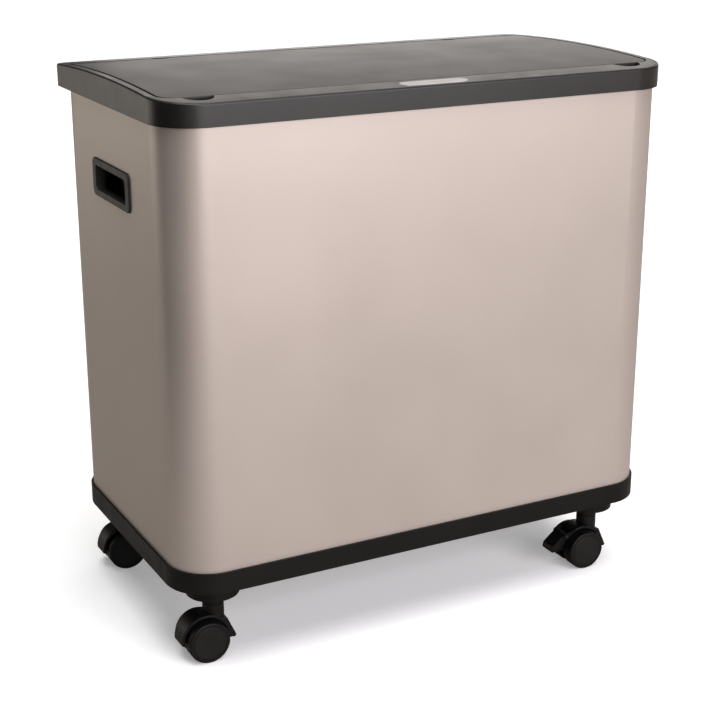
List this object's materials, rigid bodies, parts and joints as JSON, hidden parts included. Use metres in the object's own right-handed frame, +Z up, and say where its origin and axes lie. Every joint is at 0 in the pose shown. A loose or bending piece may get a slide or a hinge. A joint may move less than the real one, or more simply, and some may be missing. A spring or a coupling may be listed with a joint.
{
  "type": "laundry sorter on wheels",
  "caption": "Wheeled laundry sorter: tall steel body with rounded corners, moulded collar and base, arched hinged lid, side grips, removable bags and braked casters.",
  "frame": {"origin": "on the floor under the middle of the collar, which is the middle of the bounding box", "axes": "+Z up, -Y is the front with the wide ledge and inlay, +X along the long side to the right"},
  "size_m": [0.638, 0.365, 0.6525],
  "materials": {
    "painted_steel": "satin",
    "charcoal_plastic": "fine moulded texture",
    "base_plastic": "fine moulded texture",
    "inlay_metal": "brushed",
    "inner_plastic": "matte",
    "handle_plastic": "fine moulded texture",
    "bag_cloth": "plain weave",
    "bag_webbing": "ribbed webbing",
    "rim_wire": "zinc plated",
    "bumper_rubber": "matte",
    "screw_steel": "zinc plated",
    "pin_steel": "drawn",
    "wheel_nylon": "satin",
    "cap_plastic": "satin",
    "caster_nylon": "satin"
  },
  "bodies": {
    "root": {"bag_handles_left": "bag_webbing", "bag_handles_right": "bag_webbing", "bag_rim_left": "rim_wire", "bag_rim_right": "rim_wire", "base_screws": "screw_steel", "base_tray": "base_plastic", "body_shell": "painted_steel", "caster_sockets": "base_plastic", "caster_stem_back_left": "pin_steel", "caster_stem_back_right": "pin_steel", "caster_stem_front_left": "pin_steel", "caster_stem_front_right": "pin_steel", "collar_screws": "screw_steel", "divider_bar": "inner_plastic", "divider_screws": "screw_steel", "front_inlay": "inlay_metal", "handle_bezel_left": "handle_plastic", "handle_bezel_right": "handle_plastic", "handle_cup_left": "handle_plastic", "handle_cup_right": "handle_plastic", "handle_screws": "screw_steel", "hinge_pins": "pin_steel", "laundry_bag_left": "bag_cloth", "laundry_bag_right": "bag_cloth", "lid_bumpers": "bumper_rubber", "top_collar": "charcoal_plastic"},
    "lid": {"lid_panel": "charcoal_plastic", "lid_liner": "inner_plastic", "lid_screws": "screw_steel"},
    "caster_front_left": {"caster_hood_front_left": "caster_nylon", "caster_axle_front_left": "pin_steel"},
    "wheel_a_front_left": {"caster_wheel_a_front_left": "wheel_nylon", "wheel_cap_a_front_left": "cap_plastic"},
    "wheel_b_front_left": {"caster_wheel_b_front_left": "wheel_nylon", "wheel_cap_b_front_left": "cap_plastic"},
    "caster_front_right": {"caster_hood_front_right": "caster_nylon", "caster_axle_front_right": "pin_steel", "brake_pin_front_right": "pin_steel"},
    "wheel_a_front_right": {"caster_wheel_a_front_right": "wheel_nylon", "wheel_cap_a_front_right": "cap_plastic"},
    "wheel_b_front_right": {"caster_wheel_b_front_right": "wheel_nylon", "wheel_cap_b_front_right": "cap_plastic"},
    "pedal_front_right": {"brake_pedal_front_right": "caster_nylon"},
    "caster_back_left": {"caster_hood_back_left": "caster_nylon", "caster_axle_back_left": "pin_steel"},
    "wheel_a_back_left": {"caster_wheel_a_back_left": "wheel_nylon", "wheel_cap_a_back_left": "cap_plastic"},
    "wheel_b_back_left": {"caster_wheel_b_back_left": "wheel_nylon", "wheel_cap_b_back_left": "cap_plastic"},
    "caster_back_right": {"caster_hood_back_right": "caster_nylon", "caster_axle_back_right": "pin_steel", "brake_pin_back_right": "pin_steel"},
    "wheel_a_back_right": {"caster_wheel_a_back_right": "wheel_nylon", "wheel_cap_a_back_right": "cap_plastic"},
    "wheel_b_back_right": {"caster_wheel_b_back_right": "wheel_nylon", "wheel_cap_b_back_right": "cap_plastic"},
    "pedal_back_right": {"brake_pedal_back_right": "caster_nylon"}
  },
  "joints": [
    {"name": "lid_hinge", "type": "hinge", "parent": "root", "child": "lid", "pos_m": [0, 0.142, 0.64226], "axis": [-1, 0, 0], "range_deg": [0, 95]},
    {"name": "swivel_front_left", "type": "hinge", "parent": "root", "child": "caster_front_left", "pos_m": [-0.262, -0.1275, 0.079], "axis": [0, 0, 1], "continuous": true},
    {"name": "spin_a_front_left", "type": "hinge", "parent": "caster_front_left", "child": "wheel_a_front_left", "pos_m": [-0.276, -0.1426, 0.025], "axis": [0, 1, 0], "continuous": true},
    {"name": "spin_b_front_left", "type": "hinge", "parent": "caster_front_left", "child": "wheel_b_front_left", "pos_m": [-0.276, -0.1124, 0.025], "axis": [0, 1, 0], "continuous": true},
    {"name": "swivel_front_right", "type": "hinge", "parent": "root", "child": "caster_front_right", "pos_m": [0.262, -0.1275, 0.079], "axis": [0, 0, 1], "continuous": true},
    {"name": "spin_a_front_right", "type": "hinge", "parent": "caster_front_right", "child": "wheel_a_front_right", "pos_m": [0.248, -0.1426, 0.025], "axis": [0, 1, 0], "continuous": true},
    {"name": "spin_b_front_right", "type": "hinge", "parent": "caster_front_right", "child": "wheel_b_front_right", "pos_m": [0.248, -0.1124, 0.025], "axis": [0, 1, 0], "continuous": true},
    {"name": "brake_front_right", "type": "hinge", "parent": "caster_front_right", "child": "pedal_front_right", "pos_m": [0.22387, -0.1275, 0.04525], "axis": [0, -1, 0], "range_deg": [0, 6.5]},
    {"name": "swivel_back_left", "type": "hinge", "parent": "root", "child": "caster_back_left", "pos_m": [-0.262, 0.1475, 0.079], "axis": [0, 0, 1], "continuous": true},
    {"name": "spin_a_back_left", "type": "hinge", "parent": "caster_back_left", "child": "wheel_a_back_left", "pos_m": [-0.276, 0.1324, 0.025], "axis": [0, 1, 0], "continuous": true},
    {"name": "spin_b_back_left", "type": "hinge", "parent": "caster_back_left", "child": "wheel_b_back_left", "pos_m": [-0.276, 0.1626, 0.025], "axis": [0, 1, 0], "continuous": true},
    {"name": "swivel_back_right", "type": "hinge", "parent": "root", "child": "caster_back_right", "pos_m": [0.262, 0.1475, 0.079], "axis": [0, 0, 1], "continuous": true},
    {"name": "spin_a_back_right", "type": "hinge", "parent": "caster_back_right", "child": "wheel_a_back_right", "pos_m": [0.248, 0.1324, 0.025], "axis": [0, 1, 0], "continuous": true},
    {"name": "spin_b_back_right", "type": "hinge", "parent": "caster_back_right", "child": "wheel_b_back_right", "pos_m": [0.248, 0.1626, 0.025], "axis": [0, 1, 0], "continuous": true},
    {"name": "brake_back_right", "type": "hinge", "parent": "caster_back_right", "child": "pedal_back_right", "pos_m": [0.22387, 0.1475, 0.04525], "axis": [0, -1, 0], "range_deg": [0, 6.5]}
  ]
}
